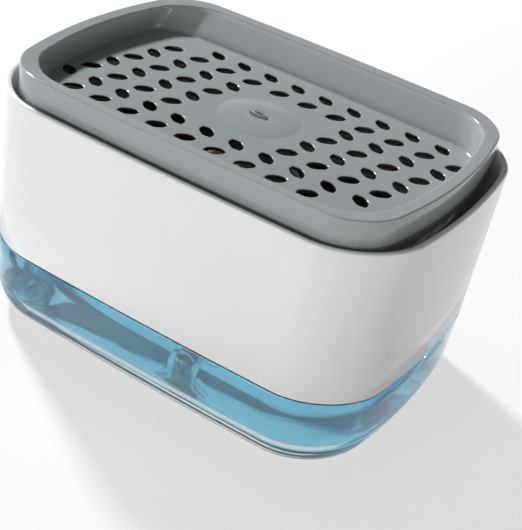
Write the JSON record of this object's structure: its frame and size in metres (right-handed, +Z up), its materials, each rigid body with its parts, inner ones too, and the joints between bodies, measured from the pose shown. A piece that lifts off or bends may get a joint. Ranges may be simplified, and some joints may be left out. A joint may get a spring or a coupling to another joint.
{
  "type": "dish soap dispenser",
  "caption": "Countertop dish soap dispenser: a clear soap tank under a cover with a hand pump, and a perforated press tray that holds a sponge and brings up soap when it is pushed down.",
  "frame": {"origin": "centre of the flat face under the tank, on the surface that it stands on", "axes": "+X along the long side, to the right as seen from the front; -Y is the front; +Z up"},
  "size_m": [0.145, 0.1034, 0.0872],
  "materials": {
    "tank": "clear thick-walled plastic, polished",
    "liquid_soap": "blue liquid dish soap; stands in as a solid of about water's density",
    "seals": "black rubber",
    "pump_deck": "charcoal plastic, satin",
    "cover_shell": "white plastic, glossy",
    "pump_plastic": "natural plastic, satin",
    "steel": "stainless steel",
    "tray": "grey plastic, satin gloss"
  },
  "bodies": {
    "tank": {"tank": "tank", "liquid_soap": "liquid_soap", "tank_seal": "seals"},
    "cover": {"cover_shell": "cover_shell", "pump_deck": "pump_deck", "barrel_gasket": "seals", "pump_barrel": "pump_plastic", "suction_tube": "pump_plastic", "ball_cage": "pump_plastic", "return_spring": "steel", "stem_guide": "pump_plastic", "lock_nut": "pump_plastic"},
    "inlet_ball": {"inlet_ball": "steel"},
    "plunger": {"piston_rod": "pump_plastic", "piston_seal": "seals", "plunger_head": "tray", "nozzle_seal": "seals"},
    "outlet_ball": {"outlet_ball": "steel"},
    "tray": {"press_tray": "tray", "nozzle_insert": "tray"}
  },
  "joints": [
    {"name": "cover_lift", "type": "slide", "parent": "tank", "child": "cover", "axis": [0, 0, 1], "range_m": [0, 0.06]},
    {"name": "press", "type": "slide", "parent": "cover", "child": "plunger", "axis": [0, 0, -1], "range_m": [0, 0.008], "stiffness_N_per_m": 600, "springref_m": -0.014, "deforming": ["return_spring"]},
    {"name": "tray_lift", "type": "slide", "parent": "plunger", "child": "tray", "axis": [0, 0, 1], "range_m": [0, 0.03]},
    {"name": "inlet_valve", "type": "slide", "parent": "cover", "child": "inlet_ball", "axis": [0, 0, 1], "range_m": [0, 0.0012]},
    {"name": "outlet_valve", "type": "slide", "parent": "plunger", "child": "outlet_ball", "axis": [0, 0, 1], "range_m": [0, 0.0012]}
  ]
}
